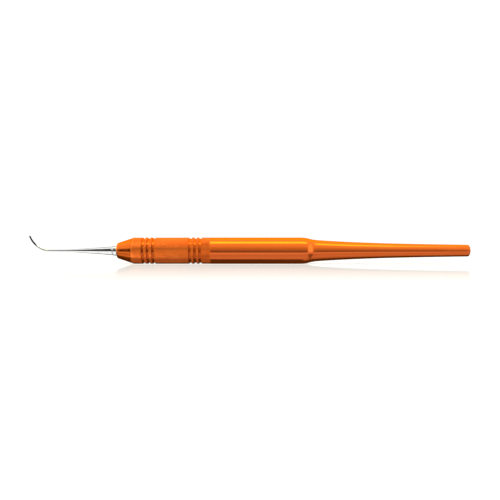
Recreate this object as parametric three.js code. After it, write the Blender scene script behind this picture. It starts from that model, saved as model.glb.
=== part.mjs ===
// Dental explorer: a one-piece turned and anodised aluminium handle with a steel working end
// bonded into its nose. Millimetres, +Z up. The instrument lies along X with its tail towards
// +X, its hook turned up towards +Z, and the underside of the barrel on z = 0.
import * as THREE from "three";

// Handle, measured along its axis from the nose face
const HANDLE_LENGTH = 133.2;
const BARREL_RADIUS = 5;
const NOSE_RADIUS = 2.9;
const NOSE_EDGE_RADIUS = 0.4;
const CONE_LENGTH = 6.3;

// The barrel runs into the tail through an S-shaped shoulder, then a long hollow taper.
// The reaches are how far the barrel's and the tail's own lines carry on into the S.
const SHOULDER_START = 68.7;
const SHOULDER_END = 77.1;
const BARREL_REACH = 4.6;
const TAIL_REACH = 5.6;
const TAIL_START_RADIUS = 3.93;
const TAIL_START_SLOPE = 0.0645;
const TAIL_END_RADIUS = 2.24;
const TAIL_END_SLOPE = 0.0156;
const TAIL_EDGE_RADIUS = 0.35;

// Finger grooves: two groups of turned rings in the grip
const GROOVE_GROUP_CENTRES = [12.1, 29.6];
const GROOVES_PER_GROUP = 3;
const GROOVE_PITCH = 1.9;
const GROOVE_WIDTH = 1;
const GROOVE_FLOOR_WIDTH = 0.7;
const GROOVE_DEPTH = 0.43;

// Blind bore for the working end
const BORE_RADIUS = 1.95;
const BORE_DEPTH = 17;
const BORE_CHAMFER = 0.12;
const DRILL_HALF_ANGLE = THREE.MathUtils.degToRad(59);

// Working end, measured along its own centre line outwards from the nose face:
// a collar, a conical shank, a slender wire and the hook with its rounded tip
const COLLAR_RADIUS = 1.88;
const COLLAR_IN = 3;
const COLLAR_OUT = 1.3;
const COLLAR_BLEND = 1.8;
const SHANK_START = 3.8;
const SHANK_RADIUS = 1.54;
const SHANK_END = 14.8;
const SHANK_END_RADIUS = 0.75;
const WIRE_START = 20.6;
const WIRE_RADIUS = 0.45;
const WIRE_BLEND = 1.95;
const HOOK_START = 25.45;
const HOOK_BEND_RADIUS = 8.6;
const HOOK_ANGLE = THREE.MathUtils.degToRad(69);
const TIP_RADIUS = 0.285;

// Tang: the reduced stem behind the collar, with rings that key it into the adhesive
const TANG_RADIUS = 1.55;
const TANG_LENGTH = 13;
const TANG_CHAMFER = 0.4;
const KEY_RING_COUNT = 3;
const KEY_RING_PITCH = 3;
const KEY_RING_WIDTH = 0.8;
const KEY_RING_DEPTH = 0.2;

// Adhesive: fills the bore behind the collar, a film's clearance from the metal around it
const FILM_CLEARANCE = 0.04;
const COLLAR_TO_ADHESIVE = 0.1;

// Facets round each turned piece, and steps along its curves
const HANDLE_SIDES = 48;
const WORKING_END_SIDES = 24;
const ADHESIVE_SIDES = 24;
const CURVE_STEPS = 5;
const HOOK_STEPS = 14;

// Turns an outline of (radius, height) about the Y axis. Each flat of the faceted solid
// touches the true round surface, and one flat faces straight down.
function turned(outline, sides) {
  const points = outline.getPoints(CURVE_STEPS);
  const cornersOut = 1 / Math.cos(Math.PI / sides);
  for (const point of points) point.x *= cornersOut;
  return new THREE.LatheGeometry(points, sides, Math.PI / sides, 2 * Math.PI);
}

function addBore(outline) {
  outline.moveTo(0, BORE_DEPTH + BORE_RADIUS / Math.tan(DRILL_HALF_ANGLE));
  outline.lineTo(BORE_RADIUS, BORE_DEPTH);
  outline.lineTo(BORE_RADIUS, BORE_CHAMFER);
  outline.lineTo(BORE_RADIUS + BORE_CHAMFER, 0);
}

// Nose face, its rounded edge and the cone up to the grip
function addNose(outline) {
  const coneAngle = Math.atan2(BARREL_RADIUS - NOSE_RADIUS, CONE_LENGTH);
  const edgeCentre = NOSE_RADIUS - NOSE_EDGE_RADIUS * Math.tan((Math.PI / 2 - coneAngle) / 2);
  outline.absarc(edgeCentre, NOSE_EDGE_RADIUS, NOSE_EDGE_RADIUS, -Math.PI / 2, -coneAngle);
  outline.lineTo(BARREL_RADIUS, CONE_LENGTH);
}

function addGroove(outline, centre) {
  const floorRadius = BARREL_RADIUS - GROOVE_DEPTH;
  outline.lineTo(BARREL_RADIUS, centre - GROOVE_WIDTH / 2);
  outline.lineTo(floorRadius, centre - GROOVE_FLOOR_WIDTH / 2);
  outline.lineTo(floorRadius, centre + GROOVE_FLOOR_WIDTH / 2);
  outline.lineTo(BARREL_RADIUS, centre + GROOVE_WIDTH / 2);
}

function addShoulderAndTail(outline) {
  outline.lineTo(BARREL_RADIUS, SHOULDER_START);
  outline.bezierCurveTo(
    BARREL_RADIUS, SHOULDER_START + BARREL_REACH,
    TAIL_START_RADIUS + TAIL_START_SLOPE * TAIL_REACH, SHOULDER_END - TAIL_REACH,
    TAIL_START_RADIUS, SHOULDER_END,
  );
  const tailEdge = HANDLE_LENGTH - TAIL_EDGE_RADIUS;
  const third = (tailEdge - SHOULDER_END) / 3;
  outline.bezierCurveTo(
    TAIL_START_RADIUS - TAIL_START_SLOPE * third, SHOULDER_END + third,
    TAIL_END_RADIUS + TAIL_END_SLOPE * third, tailEdge - third,
    TAIL_END_RADIUS, tailEdge,
  );
  const edgeCentre = TAIL_END_RADIUS - TAIL_EDGE_RADIUS;
  outline.absarc(edgeCentre, tailEdge, TAIL_EDGE_RADIUS, 0, Math.PI / 2);
  outline.lineTo(0, HANDLE_LENGTH);
}

function handleGeometry() {
  const outline = new THREE.Path();
  addBore(outline);
  addNose(outline);
  for (const groupCentre of GROOVE_GROUP_CENTRES) {
    for (let i = 0; i < GROOVES_PER_GROUP; i++) {
      addGroove(outline, groupCentre + (i - (GROOVES_PER_GROUP - 1) / 2) * GROOVE_PITCH);
    }
  }
  addShoulderAndTail(outline);

  const geometry = turned(outline, HANDLE_SIDES);
  geometry.rotateZ(-Math.PI / 2);
  return geometry;
}

// The side of the tang with its key rings, as outline points from the buried end outwards.
// A clearance moves the points off the steel, for the adhesive that surrounds it.
function tangSide(clearance, start, end) {
  const radius = TANG_RADIUS + clearance;
  const ringRadius = radius - KEY_RING_DEPTH;
  const halfRing = KEY_RING_WIDTH / 2 - clearance;
  const middle = -COLLAR_IN - TANG_LENGTH / 2;
  const points = [[radius, start]];
  for (let i = 0; i < KEY_RING_COUNT; i++) {
    const centre = middle + (i - (KEY_RING_COUNT - 1) / 2) * KEY_RING_PITCH;
    points.push([radius, centre - halfRing], [ringRadius, centre - halfRing]);
    points.push([ringRadius, centre + halfRing], [radius, centre + halfRing]);
  }
  points.push([radius, end]);
  return points;
}

function addTang(outline) {
  const tangEnd = -COLLAR_IN - TANG_LENGTH;
  outline.moveTo(0, tangEnd);
  outline.lineTo(TANG_RADIUS - TANG_CHAMFER, tangEnd);
  for (const [radius, height] of tangSide(0, tangEnd + TANG_CHAMFER, -COLLAR_IN)) {
    outline.lineTo(radius, height);
  }
}

function addCollarAndShank(outline) {
  const shankSlope = (SHANK_RADIUS - SHANK_END_RADIUS) / (SHANK_END - SHANK_START);
  outline.lineTo(COLLAR_RADIUS, -COLLAR_IN);
  outline.lineTo(COLLAR_RADIUS, COLLAR_OUT);
  outline.quadraticCurveTo(
    SHANK_RADIUS + shankSlope * COLLAR_BLEND, SHANK_START - COLLAR_BLEND,
    SHANK_RADIUS, SHANK_START,
  );
  outline.lineTo(SHANK_END_RADIUS, SHANK_END);
}

// The wire thins evenly to the tip. The hook is still straight here, and has even steps so
// that it bends smoothly.
function addWireAndHook(outline) {
  const tipCentre = HOOK_START + HOOK_BEND_RADIUS * HOOK_ANGLE - TIP_RADIUS / 2;
  const wireSlope = (WIRE_RADIUS - TIP_RADIUS) / (tipCentre - WIRE_START);
  outline.quadraticCurveTo(
    WIRE_RADIUS + wireSlope * WIRE_BLEND, WIRE_START - WIRE_BLEND,
    WIRE_RADIUS, WIRE_START,
  );
  for (let i = 0; i <= HOOK_STEPS; i++) {
    const along = THREE.MathUtils.lerp(HOOK_START, tipCentre, i / HOOK_STEPS);
    outline.lineTo(WIRE_RADIUS - wireSlope * (along - WIRE_START), along);
  }
  outline.absarc(0, tipCentre, TIP_RADIUS, 0, Math.PI / 2);
}

// Curls everything beyond the start of the hook upwards round the bend
function bendHook(geometry) {
  const position = geometry.getAttribute("position");
  for (let i = 0; i < position.count; i++) {
    const along = -position.getX(i) - HOOK_START;
    if (along <= 0) continue;
    const angle = along / HOOK_BEND_RADIUS;
    const radius = HOOK_BEND_RADIUS - position.getZ(i);
    position.setX(i, -HOOK_START - radius * Math.sin(angle));
    position.setZ(i, HOOK_BEND_RADIUS - radius * Math.cos(angle));
  }
  geometry.computeVertexNormals();
}

function workingEndGeometry() {
  const outline = new THREE.Path();
  addTang(outline);
  addCollarAndShank(outline);
  addWireAndHook(outline);

  const geometry = turned(outline, WORKING_END_SIDES);
  geometry.rotateZ(Math.PI / 2);
  bendHook(geometry);
  return geometry;
}

function adhesiveGeometry() {
  const outline = new THREE.Path();
  const radius = BORE_RADIUS - FILM_CLEARANCE;
  const mouth = -COLLAR_IN - COLLAR_TO_ADHESIVE;
  const tangEnd = -COLLAR_IN - TANG_LENGTH - FILM_CLEARANCE;
  const bottom = -BORE_DEPTH + FILM_CLEARANCE;

  outline.moveTo(0, bottom);
  outline.lineTo(radius, bottom);
  outline.lineTo(radius, mouth);
  for (const [inner, height] of tangSide(FILM_CLEARANCE, tangEnd, mouth).reverse()) {
    outline.lineTo(inner, height);
  }
  outline.lineTo(0, tangEnd);

  const geometry = turned(outline, ADHESIVE_SIDES);
  geometry.rotateZ(Math.PI / 2);
  return geometry;
}

function piece(name, geometry, look) {
  const mesh = new THREE.Mesh(geometry, new THREE.MeshStandardMaterial(look));
  mesh.name = name;
  return mesh;
}

const explorer = new THREE.Group();
explorer.add(
  piece("handle", handleGeometry(), { color: 0xee7b22, roughness: 0.3, metalness: 1 }),
  piece("working_end", workingEndGeometry(), { color: 0xc9cacc, roughness: 0.25, metalness: 1 }),
  piece("adhesive_fill", adhesiveGeometry(), { color: 0x6b5a45, roughness: 0.6, metalness: 0 }),
);

// The origin is under the middle of the whole length, on the surface that the barrel rests on
const box = new THREE.Box3().setFromObject(explorer, true);
explorer.position.set(-(box.min.x + box.max.x) / 2, 0, BARREL_RADIUS);

export default explorer;
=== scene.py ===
"""Single-ended dental explorer: a turned, knurled and orange-anodised aluminium handle, a polished
steel working end with an upturned hook, and the epoxy that bonds the two.

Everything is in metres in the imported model's frame: +X runs along the handle to the tail, +Z is up,
and the barrel rests on z = 0. Lengths along the handle are measured from its nose face."""

import math

import bpy
import numpy as np
from bpy.props import FloatProperty, FloatVectorProperty, IntProperty, PointerProperty
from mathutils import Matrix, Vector


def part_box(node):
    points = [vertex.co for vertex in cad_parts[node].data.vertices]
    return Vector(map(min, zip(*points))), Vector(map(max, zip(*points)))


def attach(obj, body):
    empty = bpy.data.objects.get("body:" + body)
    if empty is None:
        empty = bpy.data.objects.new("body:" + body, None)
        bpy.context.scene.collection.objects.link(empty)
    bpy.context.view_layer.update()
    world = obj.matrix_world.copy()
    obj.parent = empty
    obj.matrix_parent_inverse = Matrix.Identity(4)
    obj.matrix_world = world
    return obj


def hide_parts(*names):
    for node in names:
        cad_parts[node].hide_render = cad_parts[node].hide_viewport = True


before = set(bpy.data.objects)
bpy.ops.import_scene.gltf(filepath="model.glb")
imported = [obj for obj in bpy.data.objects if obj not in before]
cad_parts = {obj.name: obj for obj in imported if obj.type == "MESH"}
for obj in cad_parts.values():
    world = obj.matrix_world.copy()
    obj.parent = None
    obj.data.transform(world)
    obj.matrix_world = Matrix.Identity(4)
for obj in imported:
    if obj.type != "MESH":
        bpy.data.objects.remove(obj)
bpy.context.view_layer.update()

bl_info = {
    "name": "Dental Explorer",
    "version": (1, 0, 0),
    "blender": (4, 5, 0),
    "location": "3D View > Sidebar > Explorer",
    "description": "Builds a dental explorer with a knurled, anodised handle and a steel hook",
    "category": "Add Mesh",
}

MM = 0.001
HANDLE_LOW, HANDLE_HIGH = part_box("handle")
NOSE_X = HANDLE_LOW.x
AXIS_Z = (HANDLE_LOW.z + HANDLE_HIGH.z) / 2


# ---------------------------------------------------------------------------------------------
# Settings


def length(label, description, value):
    """A length the user can change, in metres."""
    return FloatProperty(name=label, description=description, default=value, min=0,
                         precision=5, unit="LENGTH")


def share(label, description, value):
    """A share from 0 to 1."""
    return FloatProperty(name=label, description=description, default=value, min=0, max=1,
                         subtype="FACTOR")


def colour(label, description, value):
    """A linear colour."""
    return FloatVectorProperty(name=label, description=description, default=value, size=3,
                               min=0, max=1, subtype="COLOR")


class HandleSettings(bpy.types.PropertyGroup):
    """Sizes of the handle."""

    handle_length: length("Length", "From the nose face to the tail end",
                          HANDLE_HIGH.x - HANDLE_LOW.x)
    barrel_radius: length("Barrel radius", "Radius of the grip and the barrel",
                          (HANDLE_HIGH.z - HANDLE_LOW.z) / 2)
    nose_radius: length("Nose radius", "Where the cone would meet the nose face", 2.9 * MM)
    nose_edge: length("Nose edge", "Rounding of the nose", 0.4 * MM)
    cone_length: length("Cone length", "From the nose face to the grip", 6.3 * MM)
    grip_end: length("Grip end", "Where the knurl runs out into the barrel", 35.4 * MM)
    shoulder_start: length("Shoulder start", "Where the barrel begins to curve in", 68.7 * MM)
    shoulder_end: length("Shoulder end", "Where the tail begins", 77.1 * MM)
    barrel_reach: length("Barrel reach", "How far the barrel's line carries into the S", 4.6 * MM)
    tail_reach: length("Tail reach", "How far the tail's line carries into the S", 5.6 * MM)
    tail_start_radius: length("Tail start radius", "Radius behind the shoulder", 3.93 * MM)
    tail_start_slope: share("Tail start slope", "Taper behind the shoulder", 0.0645)
    tail_end_radius: length("Tail end radius", "Radius at the tail end", 2.24 * MM)
    tail_end_slope: share("Tail end slope", "Taper at the tail end", 0.0156)
    tail_edge: length("Tail edge", "Rounding of the tail end", 0.35 * MM)
    groove_inset: length("Groove inset", "From each end of the grip to a group's middle", 5.8 * MM)
    groove_pitch: length("Groove pitch", "Between neighbouring finger grooves", 1.9 * MM)
    groove_width: length("Groove width", "Across the mouth of a groove", 1.0 * MM)
    groove_floor: length("Groove floor", "Across the floor of a groove", 0.7 * MM)
    groove_depth: length("Groove depth", "Below the barrel", 0.43 * MM)
    knurl_starts: IntProperty(name="Knurl starts", description="Diamonds round the grip",
                              default=32, min=8, max=80)
    knurl_depth: length("Knurl depth", "From the crests to the valleys", 0.20 * MM)
    bore_radius: length("Bore radius", "Radius of the blind hole in the nose", 1.95 * MM)
    bore_depth: length("Bore depth", "To the drill point", 17.0 * MM)
    bore_chamfer: length("Bore chamfer", "At the mouth of the bore", 0.12 * MM)


class WorkingEndSettings(bpy.types.PropertyGroup):
    """Sizes of the steel working end, along its centre line from the nose face outwards."""

    collar_radius: length("Collar radius", "Cylinder that fits the bore", 1.88 * MM)
    collar_in: length("Collar inside", "Length of the collar in the bore", 3.0 * MM)
    collar_out: length("Collar outside", "Length of the collar that shows", 1.3 * MM)
    collar_blend: length("Collar blend", "Length of the curve into the shank", 1.8 * MM)
    shank_start: length("Shank start", "Where the cone begins", 3.8 * MM)
    shank_radius: length("Shank radius", "At the start of the cone", 1.54 * MM)
    shank_end: length("Shank end", "Where the cone begins to blend into the wire", 14.8 * MM)
    shank_end_radius: length("Shank end radius", "At the end of the cone", 0.75 * MM)
    wire_start: length("Wire start", "Where the slender wire begins", 20.6 * MM)
    wire_radius: length("Wire radius", "At the start of the wire", 0.45 * MM)
    wire_blend: length("Wire blend", "Length of the curve into the wire", 1.95 * MM)
    hook_start: length("Hook start", "Where the wire begins to curl up", 25.45 * MM)
    hook_bend: length("Hook bend", "Radius of the bend", 8.6 * MM)
    hook_angle: FloatProperty(name="Hook angle", description="How far the hook turns",
                              default=math.radians(69), subtype="ANGLE")
    tip_radius: length("Tip radius", "Radius of the rounded tip", 0.285 * MM)
    tang_radius: length("Tang radius", "Radius of the buried stem", 1.55 * MM)
    tang_length: length("Tang length", "Behind the collar", 13.0 * MM)
    tang_chamfer: length("Tang chamfer", "At the buried end", 0.4 * MM)
    key_rings: IntProperty(name="Key rings", description="Rings cut into the tang",
                           default=3, min=0, max=6)
    ring_pitch: length("Ring pitch", "Between neighbouring rings", 3.0 * MM)
    ring_width: length("Ring width", "Along the tang", 0.8 * MM)
    ring_depth: length("Ring depth", "Below the tang", 0.2 * MM)


class FinishSettings(bpy.types.PropertyGroup):
    """Colours and surface finish."""

    dye: colour("Anodising dye", "Reflected colour of the anodised aluminium",
                (0.95, 0.172, 0.020))
    edge_tint: colour("Edge tint", "Colour that the anodising keeps at a grazing angle",
                      (1.0, 0.50, 0.14))
    worn_dye: colour("Worn dye", "Anodising rubbed thin on crests and edges",
                     (0.95, 0.32, 0.05))
    steel: colour("Steel", "Reflected colour of the polished steel", (0.80, 0.80, 0.79))
    # Painted dark reflection: the outer part of the hook is painted near black, standing in for the
    # dark surroundings that the polished steel mirrors there.
    hook: colour("Hook", "Steel darkened by hardening at the hook", (0.02, 0.02, 0.021))
    epoxy: colour("Epoxy", "Cured adhesive", (0.16, 0.11, 0.06))
    handle_roughness: share("Handle roughness", "Roughness of the anodised surface", 0.10)
    steel_roughness: share("Steel roughness", "Roughness of the polished steel", 0.08)


class StudioSettings(bpy.types.PropertyGroup):
    """Floor, light and camera."""

    camera_distance: length("Camera distance", "From the handle's axis", 190.1 * MM)
    camera_side: length("Camera side step", "To the right of the middle of the length", 0.475 * MM)
    camera_lift: length("Camera lift", "Above the handle's axis", 0.24 * MM)
    lens: FloatProperty(name="Lens", description="Focal length for a 36 mm sensor", default=36.0,
                        subtype="DISTANCE_CAMERA")
    floor_radius: length("Floor radius", "Radius of the pale floor", 3.0)
    floor_whiteness: share("Floor whiteness", "Reflected share of the matt white", 0.45)
    backlight: FloatProperty(name="Backlight", description="Light through the floor from below",
                             default=0.57, min=0)
    floor_polish: share("Floor polish", "Strength of the mirror image where the barrel rests",
                        0.42)
    polish_reach: length("Polish reach", "Where the mirror image has faded out", 0.115)
    strip_light: FloatProperty(name="Strip light", description="Brightness of the overhead strip",
                               default=3.3, min=0)
    fill_card: FloatProperty(name="Fill cards", description="Brightness of the cards at the sides",
                             default=2.0, min=0)
    black_flag: FloatProperty(name="Black flags", description="Brightness of the dark flags",
                              default=0.06, min=0)
    backdrop: FloatProperty(name="Backdrop", description="White that the camera sees behind",
                            default=1.05, min=0)


# ---------------------------------------------------------------------------------------------
# Outlines and turned meshes


class Outline:
    """Half of a turned section, as points (distance along the axis, radius)."""

    def __init__(self, *points):
        self.points = [tuple(p) for p in points]

    def line(self, *points):
        self.points.extend(tuple(p) for p in points)
        return self

    def straight(self, end, steps):
        """A straight run in even steps, for a stretch that is bent or shaded later."""
        start = self.points[-1]
        for i in range(1, steps + 1):
            self.points.append(tuple(a + (b - a) * i / steps for a, b in zip(start, end)))
        return self

    def curve(self, *controls, steps):
        """A Bezier curve from the last point, through two or three control points."""
        controls = [self.points[-1], *controls]
        degree = len(controls) - 1
        for i in range(1, steps + 1):
            t = i / steps
            weights = [math.comb(degree, k) * t**k * (1 - t) ** (degree - k)
                       for k in range(degree + 1)]
            self.points.append(tuple(sum(w * c[axis] for w, c in zip(weights, controls))
                                     for axis in (0, 1)))
        return self

    def arc(self, centre, radius, start, end, steps):
        """A round edge. Angles are from the axis direction towards larger radii."""
        for i in range(steps + 1):
            angle = start + (end - start) * i / steps
            self.points.append((centre[0] + radius * math.cos(angle),
                                centre[1] + radius * math.sin(angle)))
        return self


def turned_mesh(name, along, radii, split=None):
    """A closed mesh turned about X. along holds each ring's distance, and radii each ring's radius
    or its radius at every column. A ring of radius 0 at either end closes the solid in a point.
    split(ring, column) chooses the diagonal that cuts a quad in two, or is None for whole quads."""
    rings, columns = radii.shape
    angles = 2 * np.pi * np.arange(columns) / columns
    points = np.empty((rings, columns, 3))
    points[:, :, 0] = along[:, None]
    points[:, :, 1] = -radii * np.sin(angles)
    points[:, :, 2] = radii * np.cos(angles)
    body = points[1:-1].reshape(-1, 3)
    vertices = np.vstack([points[0, :1], body, points[-1, :1]])

    def corner(ring, column):
        return 1 + (ring - 1) * columns + column % columns

    first, last = 0, len(vertices) - 1
    faces = [(first, corner(1, c), corner(1, c + 1)) for c in range(columns)]
    for ring in range(1, rings - 2):
        for c in range(columns):
            a, b = corner(ring, c), corner(ring, c + 1)
            d, e = corner(ring + 1, c), corner(ring + 1, c + 1)
            cut = split(ring, c) if split else None
            if cut is None:
                faces.append((a, d, e, b))
            elif cut:
                faces += [(a, d, e), (a, e, b)]
            else:
                faces += [(a, d, b), (d, e, b)]
    faces += [(corner(rings - 2, c), last, corner(rings - 2, c + 1)) for c in range(columns)]
    mesh = bpy.data.meshes.new(name)
    mesh.from_pydata(vertices.tolist(), [], faces)
    return mesh


def store(mesh, name, values, poles=(0.0, 0.0)):
    """Keeps a number for every vertex: values holds one for each ring and column."""
    attribute = mesh.attributes.new(name, "FLOAT", "POINT")
    numbers = np.concatenate([[poles[0]], values[1:-1].ravel(), [poles[1]]])
    attribute.data.foreach_set("value", numbers.astype(np.float32))


def finish_piece(mesh, material, node, smooth_angle):
    """Makes the visible piece: sets its material, sharpens its corners and lets it stand for the
    CAD node of the same part."""
    mesh.validate()
    mesh.shade_smooth()
    mesh.set_sharp_from_angle(angle=math.radians(smooth_angle))
    mesh.materials.append(material)
    piece = bpy.data.objects.new(mesh.name, mesh)
    bpy.context.scene.collection.objects.link(piece)
    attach(piece, "root")
    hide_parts(node)
    return piece


# ---------------------------------------------------------------------------------------------
# Handle


DRILL_HALF_ANGLE = math.radians(59)
LAST_BORE_RING = 5  # the last ring inside the bore, counted from the drill point
BESIDE_KNURL = 0.1 * MM  # how close the plain rings come to the knurl, to keep its ends crisp


def handle_sections(s):
    """The handle's outline in three runs: bore, nose and cone; grip; barrel and tail."""
    cone_angle = math.atan2(s.barrel_radius - s.nose_radius, s.cone_length)
    edge_centre = s.nose_radius - s.nose_edge * math.tan((math.pi / 2 - cone_angle) / 2)
    drill_point = s.bore_radius / math.tan(DRILL_HALF_ANGLE)
    knurl_start = s.cone_length - 1.2 * s.knurl_depth / math.tan(cone_angle)
    start_radius = s.barrel_radius - (s.cone_length - knurl_start) * math.tan(cone_angle)
    nose = Outline((s.bore_depth + drill_point, 0), (s.bore_depth, s.bore_radius))
    nose.straight((s.bore_chamfer, s.bore_radius), 4)
    nose.line((0, s.bore_radius + s.bore_chamfer))
    nose.arc((s.nose_edge, edge_centre), s.nose_edge, math.pi, math.pi / 2 + cone_angle, 8)
    nose.straight((knurl_start - BESIDE_KNURL,
                   start_radius - BESIDE_KNURL * math.tan(cone_angle)), 6)
    nose.line((knurl_start, start_radius))

    grip = Outline((knurl_start, start_radius), (s.cone_length, s.barrel_radius))
    floor_radius = s.barrel_radius - s.groove_depth
    for centre in groove_centres(s):
        grip.line((centre - s.groove_width / 2, s.barrel_radius),
                  (centre - s.groove_floor / 2, floor_radius),
                  (centre + s.groove_floor / 2, floor_radius),
                  (centre + s.groove_width / 2, s.barrel_radius))
    grip.line((s.grip_end, s.barrel_radius))

    tail_edge = s.handle_length - s.tail_edge
    third = (tail_edge - s.shoulder_end) / 3
    tail = Outline((s.grip_end, s.barrel_radius))
    tail.line((s.grip_end + BESIDE_KNURL, s.barrel_radius))
    tail.straight((s.shoulder_start, s.barrel_radius), 12)
    tail.curve((s.shoulder_start + s.barrel_reach, s.barrel_radius),
               (s.shoulder_end - s.tail_reach,
                s.tail_start_radius + s.tail_start_slope * s.tail_reach),
               (s.shoulder_end, s.tail_start_radius), steps=28)
    tail.curve((s.shoulder_end + third, s.tail_start_radius - s.tail_start_slope * third),
               (tail_edge - third, s.tail_end_radius + s.tail_end_slope * third),
               (tail_edge, s.tail_end_radius), steps=40)
    tail.arc((tail_edge, s.tail_end_radius - s.tail_edge), s.tail_edge, math.pi / 2, 0, 8)
    tail.line((s.handle_length, 0.5 * s.tail_end_radius), (s.handle_length, 0))
    return nose, grip, tail


def groove_centres(s):
    """Two groups of three finger grooves, one at each end of the knurl."""
    groups = (s.cone_length + s.groove_inset, s.grip_end - s.groove_inset)
    return [group + step * s.groove_pitch for group in groups for step in (-1, 0, 1)]


KNURL_STEPS = 8

# Depth below the crests, as a share of the knurl's depth, by steps from the nearest groove.
KNURL_SECTION = (1.0, 0.70, 0.40, 0.13, 0.0)


class Knurl:
    """Two crossing sets of helical V grooves at 45 degrees, on a lattice of KNURL_STEPS steps to
    a diamond both round the grip and along it, so that the creases lie on the mesh's edges."""

    def __init__(self, s):
        self.columns = s.knurl_starts * KNURL_STEPS
        self.step = 2 * math.pi * s.barrel_radius / self.columns
        self.depth = s.knurl_depth
        self.radius = s.barrel_radius
        self.end = s.grip_end
        self.start = s.cone_length

    def distances(self, column, along):
        """Steps from the nearest groove of each set."""
        row = (along - self.start) / self.step
        half = KNURL_STEPS / 2
        return tuple(half - np.abs(np.mod(line, KNURL_STEPS) - half)
                     for line in (column + row, column - row))

    def sink(self, along):
        """How far each column lies below the crests at a distance along the handle, as a share
        of the knurl's depth. The knurl runs out over one step at its end."""
        nearest = np.minimum(*self.distances(np.arange(self.columns), along))
        run_out = np.clip((self.end - along) / self.step, 0, 1)
        return run_out * np.interp(nearest, range(len(KNURL_SECTION)), KNURL_SECTION)

    def rows(self, low, high):
        first = math.ceil((low - self.start) / self.step)
        last = math.floor((high - self.start) / self.step)
        return self.start + self.step * np.arange(first, last + 1)

    def crease_rises(self, column, along):
        """True if the nearer groove climbs from this column to the next along the handle."""
        one, other = self.distances(column + 0.5, along)
        return bool(other < one)


def grip_rings(grip, knurl):
    """Distances of the grip's rings: every corner of its outline, and the knurl's own rows
    except on the groove floors."""
    corners = np.array([p[0] for p in grip.points])
    floors = [(a[0], b[0]) for a, b in zip(grip.points, grip.points[1:])
              if a[1] == b[1] < knurl.radius]
    rows = [row for row in knurl.rows(corners[0], corners[-1])
            if np.abs(corners - row).min() > 0.2 * knurl.step
            and not any(low < row < high for low, high in floors)]
    return np.sort(np.concatenate([corners, rows]))


EDGE_REACH = 0.25 * MM  # how far the rubbing spreads from an edge of the handle
CREST_WEAR = 0.9
# Painted shade: how strongly the colour is darkened in the knurl's valleys and in the finger grooves.
# The same mask also adds a little roughness there.
KNURL_SHADE = 0.65
GROOVE_SHADE = 0.7


def handle_mesh(s):
    """The turned handle, with the wear of its edges and the shade of its hollows stored on it."""
    knurl = Knurl(s)
    nose, grip, tail = handle_sections(s)
    grip_along = grip_rings(grip, knurl)
    grip_outline = np.interp(grip_along, *zip(*grip.points))
    sink = np.array([knurl.sink(along) for along in grip_along])
    cut = s.barrel_radius - knurl.depth * sink
    grip_radii = np.minimum(grip_outline[:, None], cut)

    before, after = np.array(nose.points[:-1]), np.array(tail.points[1:])
    along = np.concatenate([before[:, 0], grip_along, after[:, 0]])
    plain = [np.repeat(part[:, 1:], knurl.columns, axis=1) for part in (before, after)]
    radii = np.vstack([plain[0], grip_radii, plain[1]])

    first, last = len(before), len(before) + len(grip_along) - 1

    def split(ring, column):
        if not first <= ring < last:
            return None
        return knurl.crease_rises(column, (along[ring] + along[ring + 1]) / 2)

    mesh = turned_mesh("handle_anodised", NOSE_X + along, radii, split)
    crest = np.zeros_like(radii)
    on_land = grip_outline[:, None] >= s.barrel_radius - 0.02 * MM
    crest[first:last + 1] = np.where(on_land, 1 - sink, 0)
    edges = np.array([0.1 * MM, s.cone_length, s.handle_length - 0.1 * MM])
    reach = np.exp(-((along[:, None] - edges) / EDGE_REACH) ** 2).max(axis=1)
    outside = np.arange(len(along)) > LAST_BORE_RING
    store(mesh, "edge", np.maximum(CREST_WEAR * crest, (reach * outside)[:, None]))
    below_outline = (grip_outline[:, None] - grip_radii) / s.knurl_depth
    below_barrel = (s.barrel_radius - grip_outline[:, None]) / s.groove_depth
    # Painted shade: a mask that darkens the colour in the knurl's valleys and the finger grooves.
    recess_shade = np.zeros_like(radii)
    recess_shade[first:last + 1] = KNURL_SHADE * below_outline + GROOVE_SHADE * below_barrel
    store(mesh, "recess_shade", np.clip(recess_shade, 0, 1))
    return mesh


# ---------------------------------------------------------------------------------------------
# Working end and adhesive


ADHESIVE_FILM = 0.008 * MM
# Painted dark reflection on the hook: where it begins along the hook and over what share it fades in.
HOOK_DARK_FROM = 0.52  # share of the hook, from its start, where it begins to darken
HOOK_DARK_OVER = 0.12


def tang_side(s, clearance, start, end):
    """The tang's side with its key rings, from the buried end outwards, a clearance off it."""
    radius = s.tang_radius + clearance
    half_ring = s.ring_width / 2 - clearance
    middle = -s.collar_in - s.tang_length / 2
    points = [(start, radius)]
    for i in range(s.key_rings):
        centre = middle + (i - (s.key_rings - 1) / 2) * s.ring_pitch
        points += [(centre - half_ring, radius), (centre - half_ring, radius - s.ring_depth),
                   (centre + half_ring, radius - s.ring_depth), (centre + half_ring, radius)]
    return points + [(end, radius)]


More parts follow.
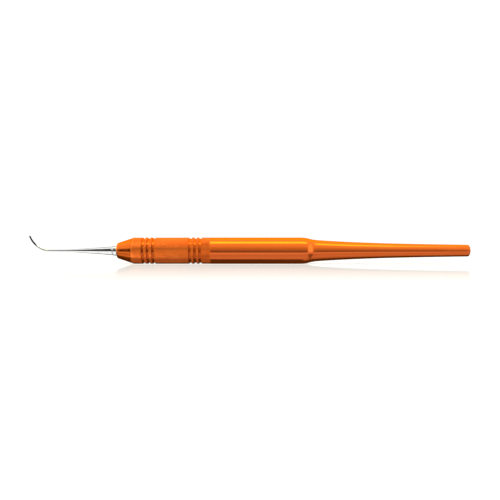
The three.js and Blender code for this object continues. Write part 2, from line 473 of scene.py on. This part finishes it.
def working_end_outline(s):
    """Half of the steel's section along its straightened centre line, from tang to tip."""
    tang_end = -s.collar_in - s.tang_length
    tip_centre = s.hook_start + s.hook_bend * s.hook_angle - s.tip_radius / 2
    shank_slope = (s.shank_radius - s.shank_end_radius) / (s.shank_end - s.shank_start)
    wire_slope = (s.wire_radius - s.tip_radius) / (tip_centre - s.wire_start)
    hook_radius = s.wire_radius - wire_slope * (s.hook_start - s.wire_start)
    outline = Outline((tang_end, 0), (tang_end, s.tang_radius - s.tang_chamfer))
    outline.line(*tang_side(s, 0, tang_end + s.tang_chamfer, -s.collar_in))
    outline.line((-s.collar_in, s.collar_radius - 0.1 * MM),
                 (-s.collar_in + 0.1 * MM, s.collar_radius), (0, s.collar_radius))
    outline.straight((s.collar_out, s.collar_radius), 3)
    outline.curve((s.shank_start - s.collar_blend,
                   s.shank_radius + shank_slope * s.collar_blend),
                  (s.shank_start, s.shank_radius), steps=14)
    outline.straight((s.shank_end, s.shank_end_radius), 12)
    outline.curve((s.wire_start - s.wire_blend, s.wire_radius + wire_slope * s.wire_blend),
                  (s.wire_start, s.wire_radius), steps=16)
    outline.straight((s.hook_start, hook_radius), 6)
    outline.straight((tip_centre, s.tip_radius), 48)
    outline.arc((tip_centre, 0), s.tip_radius, math.radians(80), 0, 8)
    return outline


def bend_hook(mesh, s):
    """Curls everything beyond the start of the hook upwards round the bend."""
    points = np.empty(len(mesh.vertices) * 3)
    mesh.vertices.foreach_get("co", points)
    points = points.reshape(-1, 3)
    along = -points[:, 0] - s.hook_start
    hooked = along > 0
    angle = along[hooked] / s.hook_bend
    radius = s.hook_bend - points[hooked, 2]
    points[hooked, 0] = -s.hook_start - radius * np.sin(angle)
    points[hooked, 2] = s.hook_bend - radius * np.cos(angle)
    mesh.vertices.foreach_set("co", points.ravel())
    mesh.update()


def place(mesh):
    """Moves a mesh from the nose face and the axis to their place in the frame."""
    for vertex in mesh.vertices:
        vertex.co += Vector((NOSE_X, 0, AXIS_Z))
    mesh.update()


def mirrored_mesh(name, outline, columns):
    """A turned mesh whose outline runs from the buried end out towards -X."""
    points = np.array(outline.points)[::-1]
    radii = np.repeat(points[:, 1:], columns, axis=1)
    return turned_mesh(name, -points[:, 0], radii), points, radii


def working_end_mesh(s):
    """The steel, with its collar's rim and the painted dark reflection on its hook stored on it."""
    mesh, points, radii = mirrored_mesh("working_end_steel", working_end_outline(s), 64)
    rim = np.exp(-((points[:, :1] - s.collar_out) / (0.5 * MM)) ** 2)
    store(mesh, "edge", np.broadcast_to(rim, radii.shape))
    # Painted dark reflection: a mask that paints the outer part of the hook near black.
    curl = (points[:, :1] - s.hook_start) / (s.hook_bend * s.hook_angle)
    hook = np.clip((curl - HOOK_DARK_FROM) / HOOK_DARK_OVER, 0, 1)
    store(mesh, "hook", np.broadcast_to(hook, radii.shape), poles=(1.0, 0.0))
    bend_hook(mesh, s)
    place(mesh)
    return mesh


def adhesive_mesh(s, handle):
    """Epoxy round the tang and as a thin film beside the collar, with a hollow face at the mouth."""
    film = ADHESIVE_FILM
    outer = handle.bore_radius - film
    inner = s.collar_radius + film
    tang_end = -s.collar_in - s.tang_length - film
    middle = (outer + inner) / 2
    outline = Outline((-handle.bore_depth + film, 0), (-handle.bore_depth + film, outer))
    outline.line((-0.16 * MM, outer), (-0.2 * MM, middle), (-0.16 * MM, inner),
                 (-s.collar_in - film, inner))
    outline.line(*reversed(tang_side(s, film, tang_end, -s.collar_in - film)))
    outline.line((tang_end, 0))
    mesh, _, _ = mirrored_mesh("adhesive_epoxy", outline, 64)
    place(mesh)
    return mesh


# ---------------------------------------------------------------------------------------------
# Shader building


def node(tree, kind, inputs=None, **attributes):
    """Adds a shader node, sets its attributes, and fills inputs by name or number: an output
    socket is linked, and anything else is a value."""
    made = tree.nodes.new(kind)
    for name, value in attributes.items():
        setattr(made, name, value)
    for key, value in (inputs or {}).items():
        if isinstance(value, bpy.types.NodeSocket):
            tree.links.new(value, made.inputs[key])
        else:
            made.inputs[key].default_value = value
    return made


def maths(tree, operation, a, b=0.5, clamp=False):
    return node(tree, "ShaderNodeMath", {0: a, 1: b}, operation=operation,
                use_clamp=clamp).outputs[0]


def remap(tree, value, low, high, to_low, to_high, smooth=True):
    made = node(tree, "ShaderNodeMapRange",
                {"Value": value, "From Min": low, "From Max": high,
                 "To Min": to_low, "To Max": to_high},
                interpolation_type="SMOOTHSTEP" if smooth else "LINEAR")
    return made.outputs["Result"]


def mix_colours(tree, factor, a, b):
    made = node(tree, "ShaderNodeMix", data_type="RGBA")
    for socket, value in ((made.inputs[0], factor), (made.inputs[6], a), (made.inputs[7], b)):
        if isinstance(value, bpy.types.NodeSocket):
            tree.links.new(value, socket)
        else:
            socket.default_value = value
    return made.outputs[2]


def scaled(tree, colour_value, factor):
    return node(tree, "ShaderNodeVectorMath", {0: colour_value, "Scale": factor},
                operation="SCALE").outputs[0]


def shader_group(name, inputs, outputs):
    """A node group with named sockets, and its input and output nodes."""
    tree = bpy.data.node_groups.new(name, "ShaderNodeTree")
    for label, kind, value in inputs:
        socket = tree.interface.new_socket(label, in_out="INPUT", socket_type=kind)
        if value is not None:
            socket.default_value = value
    for label, kind in outputs:
        tree.interface.new_socket(label, in_out="OUTPUT", socket_type=kind)
    return tree, tree.nodes.new("NodeGroupInput").outputs, tree.nodes.new("NodeGroupOutput").inputs


def use_group(tree, group, inputs):
    """Puts a group into a material with that material's own values, and gives its outputs."""
    made = tree.nodes.new("ShaderNodeGroup")
    made.node_tree = group
    for key, value in inputs.items():
        if isinstance(value, bpy.types.NodeSocket):
            tree.links.new(value, made.inputs[key])
        else:
            made.inputs[key].default_value = value
    return made.outputs


def turning_marks_group():
    """Fine rings left by the tool: lines that change quickly along X and slowly round it."""
    tree, given, result = shader_group(
        "turning_marks",
        [("Vector", "NodeSocketVector", None), ("Spacing", "NodeSocketFloat", 0.00015),
         ("Patchiness", "NodeSocketFloat", 0.5)],
        [("Height", "NodeSocketFloat"), ("Streak", "NodeSocketFloat")])
    parts = node(tree, "ShaderNodeSeparateXYZ", {0: given["Vector"]}).outputs
    line = maths(tree, "DIVIDE", parts["X"], given["Spacing"])
    rings = node(tree, "ShaderNodeTexNoise", {"W": line, "Scale": 1.0, "Detail": 3.0,
                                              "Roughness": 0.6}, noise_dimensions="1D")
    broad = maths(tree, "MULTIPLY", line, 0.11)
    bands = node(tree, "ShaderNodeTexNoise", {"W": broad, "Scale": 1.0, "Detail": 2.0},
                 noise_dimensions="1D")
    patches = node(tree, "ShaderNodeTexNoise",
                   {"Vector": given["Vector"], "Scale": 260.0, "Detail": 2.0})
    calm = maths(tree, "SUBTRACT", 1.0, given["Patchiness"])
    patch = maths(tree, "MULTIPLY", patches.outputs["Fac"], given["Patchiness"])
    strength = maths(tree, "ADD", calm, patch)
    tree.links.new(maths(tree, "MULTIPLY", rings.outputs["Fac"], strength), result["Height"])
    streak = remap(tree, bands.outputs["Fac"], 0.3, 0.7, 0.0, 1.0)
    tree.links.new(streak, result["Streak"])
    return tree


def edge_wear_group():
    """Turns a mesh's edge values into a broken-up mask of rubbed places."""
    tree, given, result = shader_group(
        "edge_wear",
        [("Vector", "NodeSocketVector", None), ("Edge", "NodeSocketFloat", 0.0),
         ("Amount", "NodeSocketFloat", 0.5), ("Scale", "NodeSocketFloat", 1500.0)],
        [("Mask", "NodeSocketFloat")])
    grain = node(tree, "ShaderNodeTexNoise",
                 {"Vector": given["Vector"], "Scale": given["Scale"], "Detail": 3.0,
                  "Roughness": 0.65})
    uneven = node(tree, "ShaderNodeTexNoise",
                  {"Vector": given["Vector"], "Scale": 90.0, "Detail": 1.0})
    break_up = maths(tree, "MULTIPLY", grain.outputs["Fac"], uneven.outputs["Fac"])
    rubbed = maths(tree, "MULTIPLY", given["Edge"], maths(tree, "MULTIPLY", break_up, 4.0))
    tree.links.new(maths(tree, "MULTIPLY", rubbed, given["Amount"], clamp=True), result["Mask"])
    return tree


def handling_group():
    """Faint smudges and hairlines that handling leaves on metal, as changes in roughness."""
    tree, given, result = shader_group(
        "handling_marks",
        [("Vector", "NodeSocketVector", None), ("Scale", "NodeSocketFloat", 120.0)],
        [("Smudge", "NodeSocketFloat"), ("Hairline", "NodeSocketFloat")])
    smudge = node(tree, "ShaderNodeTexNoise",
                  {"Vector": given["Vector"], "Scale": given["Scale"], "Detail": 4.0,
                   "Distortion": 0.6})
    tree.links.new(remap(tree, smudge.outputs["Fac"], 0.4, 0.7, 0.0, 1.0), result["Smudge"])
    stretched = node(tree, "ShaderNodeMapping",
                     {"Vector": given["Vector"], "Scale": (260.0, 3800.0, 3800.0),
                      "Rotation": (0.0, 0.25, 0.3)})
    lines = node(tree, "ShaderNodeTexNoise",
                 {"Vector": stretched.outputs[0], "Scale": 1.0, "Detail": 1.0})
    tree.links.new(remap(tree, lines.outputs["Fac"], 0.68, 0.78, 0.0, 1.0), result["Hairline"])
    return tree


def shared_group(name, build):
    """A shared effect, built the first time that a material uses it."""
    return bpy.data.node_groups.get(name) or build()


def new_material(name):
    """A material with only a Principled shader, and its object coordinates."""
    material = bpy.data.materials.new(name)
    material.use_nodes = True
    tree = material.node_tree
    tree.nodes.clear()
    shader = tree.nodes.new("ShaderNodeBsdfPrincipled")
    output = tree.nodes.new("ShaderNodeOutputMaterial")
    tree.links.new(shader.outputs[0], output.inputs["Surface"])
    coordinates = tree.nodes.new("ShaderNodeTexCoord").outputs["Object"]
    return material, tree, shader, coordinates


def attribute(tree, name):
    return node(tree, "ShaderNodeAttribute", attribute_name=name).outputs["Fac"]


def anodised_aluminium(finish):
    """Dyed anodising: a metal of the dye's colour, with painted shade darkening the knurl's valleys
    and the grooves, and paler on rubbed crests.
    """
    material, tree, shader, where = new_material("anodised_aluminium")
    marks = use_group(tree, shared_group("turning_marks", turning_marks_group),
                      {"Vector": where, "Spacing": 0.16 * MM, "Patchiness": 0.5})
    wear = use_group(tree, shared_group("edge_wear", edge_wear_group),
                     {"Vector": where, "Edge": attribute(tree, "edge"), "Amount": 0.55,
                      "Scale": 1800.0})["Mask"]
    handling = use_group(tree, shared_group("handling_marks", handling_group),
                         {"Vector": where, "Scale": 110.0})
    recess_shade = attribute(tree, "recess_shade")

    dye = (*finish.dye, 1.0)
    # Painted shade: the dye at half its brightness, for the knurl's valleys and the grooves.
    shaded_dye = (*(c * 0.5 for c in finish.dye), 1.0)
    pale = tuple(min(1.0, c * g) for c, g in zip(dye, (1.0, 1.10, 1.2, 1.0)))
    cloud = node(tree, "ShaderNodeTexNoise", {"Vector": where, "Scale": 160.0, "Detail": 3.0})
    body = mix_colours(tree, remap(tree, cloud.outputs["Fac"], 0.35, 0.7, 0.0, 0.5), dye, pale)
    # Painted shade: the dye is darkened in the knurl's valleys and the finger grooves.
    body = mix_colours(tree, maths(tree, "MULTIPLY", recess_shade, 0.8), body, shaded_dye)
    body = mix_colours(tree, wear, body, (*finish.worn_dye, 1.0))
    tree.links.new(body, shader.inputs["Base Color"])

    rough = maths(tree, "MULTIPLY_ADD", marks["Streak"], 0.05)
    rough.node.inputs[2].default_value = finish.handle_roughness
    for amount, value in ((0.05, handling["Smudge"]), (0.08, handling["Hairline"]),
                          (0.10, wear), (0.06, recess_shade)):
        rough = maths(tree, "ADD", rough, maths(tree, "MULTIPLY", value, amount))
    tree.links.new(rough, shader.inputs["Roughness"])
    shader.inputs["Metallic"].default_value = 1.0
    shader.inputs["Specular Tint"].default_value = (*finish.edge_tint, 1.0)
    bump = node(tree, "ShaderNodeBump", {"Height": marks["Height"], "Strength": 0.35,
                                         "Distance": 0.004 * MM})
    tree.links.new(bump.outputs[0], shader.inputs["Normal"])
    return material


def polished_steel(finish):
    """Ground and polished stainless steel with faint grinding rings, and a painted dark reflection on
    the outer part of the hook.
    """
    material, tree, shader, where = new_material("polished_steel")
    marks = use_group(tree, shared_group("turning_marks", turning_marks_group),
                      {"Vector": where, "Spacing": 0.06 * MM, "Patchiness": 0.7})
    wear = use_group(tree, shared_group("edge_wear", edge_wear_group),
                     {"Vector": where, "Edge": attribute(tree, "edge"), "Amount": 0.4,
                      "Scale": 2500.0})["Mask"]
    handling = use_group(tree, shared_group("handling_marks", handling_group),
                         {"Vector": where, "Scale": 300.0})
    steel = (*finish.steel, 1.0)
    dull = (*(c * 0.8 for c in finish.steel), 1.0)
    body = mix_colours(tree, maths(tree, "MULTIPLY", handling["Smudge"], 0.35), steel, dull)
    body = mix_colours(tree, maths(tree, "MULTIPLY", wear, 0.5), body, (0.9, 0.9, 0.9, 1.0))
    # Painted dark reflection: the outer part of the hook is painted near black.
    body = mix_colours(tree, attribute(tree, "hook"), body, (*finish.hook, 1.0))
    tree.links.new(body, shader.inputs["Base Color"])
    rough = maths(tree, "MULTIPLY_ADD", marks["Streak"], 0.06)
    rough.node.inputs[2].default_value = finish.steel_roughness
    for amount, value in ((0.04, handling["Smudge"]), (0.08, handling["Hairline"])):
        rough = maths(tree, "ADD", rough, maths(tree, "MULTIPLY", value, amount))
    tree.links.new(rough, shader.inputs["Roughness"])
    shader.inputs["Metallic"].default_value = 1.0
    bump = node(tree, "ShaderNodeBump", {"Height": marks["Height"], "Strength": 0.3,
                                         "Distance": 0.002 * MM})
    tree.links.new(bump.outputs[0], shader.inputs["Normal"])
    return material


def cured_epoxy(finish):
    """Dull amber epoxy with a slightly uneven surface."""
    material, tree, shader, where = new_material("cured_epoxy")
    lumps = node(tree, "ShaderNodeTexNoise", {"Vector": where, "Scale": 2500.0, "Detail": 3.0})
    epoxy = (*finish.epoxy, 1.0)
    light = (*(min(1.0, c * 1.8) for c in finish.epoxy), 1.0)
    tree.links.new(mix_colours(tree, lumps.outputs["Fac"], epoxy, light),
                   shader.inputs["Base Color"])
    tree.links.new(remap(tree, lumps.outputs["Fac"], 0.3, 0.7, 0.45, 0.7),
                   shader.inputs["Roughness"])
    bump = node(tree, "ShaderNodeBump", {"Height": lumps.outputs["Fac"], "Strength": 0.5,
                                         "Distance": 0.02 * MM})
    tree.links.new(bump.outputs[0], shader.inputs["Normal"])
    return material


# ---------------------------------------------------------------------------------------------
# Studio


# Brightness of the surroundings by the angle round the X axis, in degrees: 0 is straight in
# front of the instrument at its own height, 90 is overhead and 180 behind it. The handle sees
# the middle of the studio, and the steel sees the left of it, because of where the camera is.
MIDDLE_BANDS = (
    (-180, 0.12), (-100, 0.10), (-85, 0.11), (-75, 0.67), (-63, 0.67), (-43, 0.57), (-36, 0.62),
    (-25, 0.93), (-18, 0.55), (-10, 0.235), (-4, 0.21), (4, 0.44), (10, 0.55), (18, 0.57),
    (28, 0.73), (37, 0.92), (60, 0.98), (88, 1.22), (101, 1.36), (116, 1.70), (134, 1.72),
    (150, 1.55), (180, 1.25),
)
LEFT_BANDS = (
    (-180, 0.10), (-119, 0.05), (-110, 1.20), (-34, 1.25), (-24, 1.10), (-14, 0.03),
    (50, 0.03), (62, 1.30), (101, 1.30), (105, 0.03), (123, 0.03), (128, 1.30), (180, 1.30),
)
BRIGHTEST_BAND = 1.8
LEFT_SECTOR = (-0.54, -0.50, -0.26, -0.235)

# Cards and flags that stand in front of those bands: the sector that each takes up along X and
# the arc that it takes up round X. Each fades in between its first two limits and out between
# its last two. A fill card ends with its share of the fill cards' brightness, and a shaded card
# with its own brightness. The black flags are all as dark as their setting.
FILL_CARDS = (
    ((0.46, 0.54, 0.64, 0.68), (-26, -4, 62, 80), 0.85),
    ((-0.97, -0.95, -0.87, -0.85), (-26, -4, 62, 80), 2.60),
)
SHADED_CARDS = (
    ((0.46, 0.50, 0.66, 0.70), (-110, -80, -38, -30), 0.22),
    ((-0.91, -0.88, -0.77, -0.755), (-110, -80, -38, -30), 0.22),
    ((0.15, 0.20, 0.45, 0.49), (-102, -94, -84, -75), 0.55),
)
BLACK_FLAGS = (
    ((0.67, 0.72, 0.86, 0.90), (-60, -50, 150, 170)),
    ((-1.20, -1.10, -0.97, -0.95), (-200, -190, 150, 170)),
    ((-0.85, -0.82, -0.50, -0.46), (-12, -6, 12, 32)),
)
STRIP = ((-0.34, -0.28, 0.28, 0.42), (62, 67, 83, 87))

# The overhead strip is a warm light, and everything low in front and below is a cool one.
COOL = ((-0.24, -0.21, 1.2, 1.3), (-190, -185, -6, 6))
COOL_TINT = (1.0, 1.0, 1.7, 1.0)
WARM_TINT = (1.0, 1.0, 0.25, 1.0)
WHITE = (1.0, 1.0, 1.0, 1.0)
# Painted reflection: a warm white painted into the floor where it mirrors the orange handle.
PAINTED_REFLECTION_WHITE = (1.0, 0.965, 0.960, 1.0)


def between(tree, value, limits):
    """1 between the two inner limits, 0 beyond the two outer ones."""
    rise = remap(tree, value, limits[0], limits[1], 0.0, 1.0)
    fall = remap(tree, value, limits[2], limits[3], 1.0, 0.0)
    return maths(tree, "MULTIPLY", rise, fall)


def banded(tree, angle, bands):
    """Brightness that follows the angle in degrees, in straight runs between the bands."""
    ramp = node(tree, "ShaderNodeValToRGB", {"Fac": remap(tree, angle, -180, 180, 0, 1, False)})
    stops = ramp.color_ramp.elements
    while len(stops) < len(bands):
        stops.new(1.0)
    for stop, (degrees, brightness) in zip(stops, bands):
        stop.position = (degrees + 180) / 360
        level = brightness / BRIGHTEST_BAND
        stop.color = (level, level, level, 1.0)
    return maths(tree, "MULTIPLY", ramp.outputs["Color"], BRIGHTEST_BAND)


def blend_values(tree, factor, a, b):
    return node(tree, "ShaderNodeMix", {0: factor, 2: a, 3: b}).outputs[0]


def studio_world(settings):
    """Soft boxes seen as bands round the instrument, with a bright strip overhead, a dark gap at
    the height of the instrument, and cards and flags at both sides. The camera itself sees
    plain white."""
    world = bpy.data.worlds.new("studio")
    bpy.context.scene.world = world
    world.use_nodes = True
    tree = world.node_tree
    tree.nodes.clear()
    direction = tree.nodes.new("ShaderNodeTexCoord").outputs["Generated"]
    x, y, z = node(tree, "ShaderNodeSeparateXYZ", {0: direction}).outputs
    radians = maths(tree, "ARCTAN2", z, maths(tree, "MULTIPLY", y, -1.0))
    angle = maths(tree, "DEGREES", radians)

    def patch(sector, arc):
        return maths(tree, "MULTIPLY", between(tree, x, sector), between(tree, angle, arc))

    at_left = between(tree, x, LEFT_SECTOR)
    strip = patch(*STRIP)
    brightness = blend_values(tree, at_left, banded(tree, angle, MIDDLE_BANDS),
                              banded(tree, angle, LEFT_BANDS))
    cards = [(patch(sector, arc), settings.fill_card * part) for sector, arc, part in FILL_CARDS]
    cards += [(patch(sector, arc), level) for sector, arc, level in SHADED_CARDS]
    cards += [(patch(sector, arc), settings.black_flag) for sector, arc in BLACK_FLAGS]
    cards.append((strip, settings.strip_light))
    for mask, level in cards:
        brightness = blend_values(tree, mask, brightness, level)
    tint = mix_colours(tree, patch(*COOL), WHITE, COOL_TINT)
    tint = mix_colours(tree, strip, tint, WARM_TINT)

    seen = node(tree, "ShaderNodeLightPath").outputs["Is Camera Ray"]
    light = node(tree, "ShaderNodeBackground", {"Color": tint, "Strength": brightness})
    backdrop = node(tree, "ShaderNodeBackground", {"Color": WHITE, "Strength": settings.backdrop})
    both = node(tree, "ShaderNodeMixShader", {0: seen, 1: light.outputs[0],
                                              2: backdrop.outputs[0]})
    output = tree.nodes.new("ShaderNodeOutputWorld")
    tree.links.new(both.outputs[0], output.inputs["Surface"])


def floor_material(settings):
    """White acrylic lit partly from below: matt, under a weak polish that shows only at a low
    angle and fades towards the camera. Where it mirrors, a painted reflection turns the white a
    little warm."""
    material = bpy.data.materials.new("white_acrylic")
    material.use_nodes = True
    tree = material.node_tree
    tree.nodes.clear()
    where = tree.nodes.new("ShaderNodeTexCoord").outputs["Object"]
    y = node(tree, "ShaderNodeSeparateXYZ", {0: where}).outputs["Y"]
    away = maths(tree, "ABSOLUTE", y)
    faded = maths(tree, "POWER", maths(tree, "DIVIDE", away, settings.polish_reach), 3.0)
    beyond_contact = remap(tree, away, 8 * MM, 13 * MM, 0.0, 1.0)
    polish = maths(tree, "MULTIPLY", maths(tree, "SUBTRACT", 1.0, faded, clamp=True),
                   beyond_contact)
    fresnel = node(tree, "ShaderNodeFresnel", {"IOR": 1.45}).outputs[0]
    mirror = maths(tree, "MULTIPLY", maths(tree, "MULTIPLY", polish, fresnel),
                   settings.floor_polish)
    # Painted reflection: where the floor mirrors, its matt white and its glow are painted a little
    # warm.
    white = mix_colours(tree, maths(tree, "MULTIPLY", mirror, 3.0, clamp=True),
                        WHITE, PAINTED_REFLECTION_WHITE)
    matt = node(tree, "ShaderNodeBsdfDiffuse",
                {"Color": scaled(tree, white, settings.floor_whiteness)})
    glow = node(tree, "ShaderNodeEmission", {"Color": white, "Strength": settings.backlight})
    lit = node(tree, "ShaderNodeAddShader", {0: matt.outputs[0], 1: glow.outputs[0]})
    gloss = node(tree, "ShaderNodeBsdfGlossy", {"Roughness": 0.02})
    both = node(tree, "ShaderNodeMixShader", {0: mirror, 1: lit.outputs[0], 2: gloss.outputs[0]})
    output = tree.nodes.new("ShaderNodeOutputMaterial")
    tree.links.new(both.outputs[0], output.inputs["Surface"])
    return material


def studio_floor(settings):
    rim = 96
    corners = [(settings.floor_radius * math.cos(2 * math.pi * i / rim),
                settings.floor_radius * math.sin(2 * math.pi * i / rim), 0) for i in range(rim)]
    mesh = bpy.data.meshes.new("studio_floor")
    mesh.from_pydata(corners, [], [tuple(range(rim))])
    mesh.materials.append(floor_material(settings))
    floor = bpy.data.objects.new("studio_floor", mesh)
    floor.visible_glossy = False
    bpy.context.scene.collection.objects.link(floor)


def studio_camera(settings):
    data = bpy.data.cameras.new("camera")
    data.lens = settings.lens
    data.clip_start = 0.005
    camera = bpy.data.objects.new("camera", data)
    camera.location = (settings.camera_side, -settings.camera_distance,
                       AXIS_Z + settings.camera_lift)
    camera.rotation_euler = (math.pi / 2, 0, 0)
    bpy.context.scene.collection.objects.link(camera)
    bpy.context.scene.camera = camera


# ---------------------------------------------------------------------------------------------
# Operators


class EXPLORER_OT_studio(bpy.types.Operator):
    """Set up the pale floor, the soft studio light and the camera"""

    bl_idname = "explorer.studio"
    bl_label = "Studio"

    def execute(self, context):
        settings = context.scene.explorer_studio
        studio_world(settings)
        studio_floor(settings)
        studio_camera(settings)
        context.scene.view_settings.view_transform = "Standard"
        return {"FINISHED"}


class EXPLORER_OT_handle(bpy.types.Operator):
    """Add the turned, knurled and anodised handle"""

    bl_idname = "explorer.handle"
    bl_label = "Handle"

    def execute(self, context):
        mesh = handle_mesh(context.scene.explorer_handle)
        for vertex in mesh.vertices:
            vertex.co.z += AXIS_Z
        finish_piece(mesh, anodised_aluminium(context.scene.explorer_finish),
                     "handle", 28)
        return {"FINISHED"}


class EXPLORER_OT_working_end(bpy.types.Operator):
    """Add the polished steel shank, wire and hook"""

    bl_idname = "explorer.working_end"
    bl_label = "Working End"

    def execute(self, context):
        mesh = working_end_mesh(context.scene.explorer_working_end)
        finish_piece(mesh, polished_steel(context.scene.explorer_finish),
                     "working_end", 35)
        return {"FINISHED"}


class EXPLORER_OT_adhesive(bpy.types.Operator):
    """Add the epoxy that bonds the working end in the handle"""

    bl_idname = "explorer.adhesive"
    bl_label = "Adhesive"

    def execute(self, context):
        scene = context.scene
        mesh = adhesive_mesh(scene.explorer_working_end, scene.explorer_handle)
        finish_piece(mesh, cured_epoxy(scene.explorer_finish), "adhesive_fill", 35)
        return {"FINISHED"}


class EXPLORER_PT_sidebar(bpy.types.Panel):
    """Lists the operators that build the explorer"""

    bl_idname = "EXPLORER_PT_sidebar"
    bl_label = "Dental Explorer"
    bl_space_type = "VIEW_3D"
    bl_region_type = "UI"
    bl_category = "Explorer"

    def draw(self, context):
        for operator in OPERATORS:
            self.layout.operator(operator.bl_idname)


OPERATORS = (EXPLORER_OT_studio, EXPLORER_OT_handle, EXPLORER_OT_working_end,
             EXPLORER_OT_adhesive)
SETTINGS = {
    "explorer_handle": HandleSettings,
    "explorer_working_end": WorkingEndSettings,
    "explorer_finish": FinishSettings,
    "explorer_studio": StudioSettings,
}
CLASSES = (*SETTINGS.values(), *OPERATORS, EXPLORER_PT_sidebar)


def register():
    for cls in CLASSES:
        bpy.utils.register_class(cls)
    for name, cls in SETTINGS.items():
        setattr(bpy.types.Scene, name, PointerProperty(type=cls))


def unregister():
    for name in SETTINGS:
        delattr(bpy.types.Scene, name)
    for cls in reversed(CLASSES):
        bpy.utils.unregister_class(cls)


def main():
    register()
    bpy.ops.explorer.studio()
    bpy.ops.explorer.handle()
    bpy.ops.explorer.working_end()
    bpy.ops.explorer.adhesive()


if __name__ == "__main__":
    main()
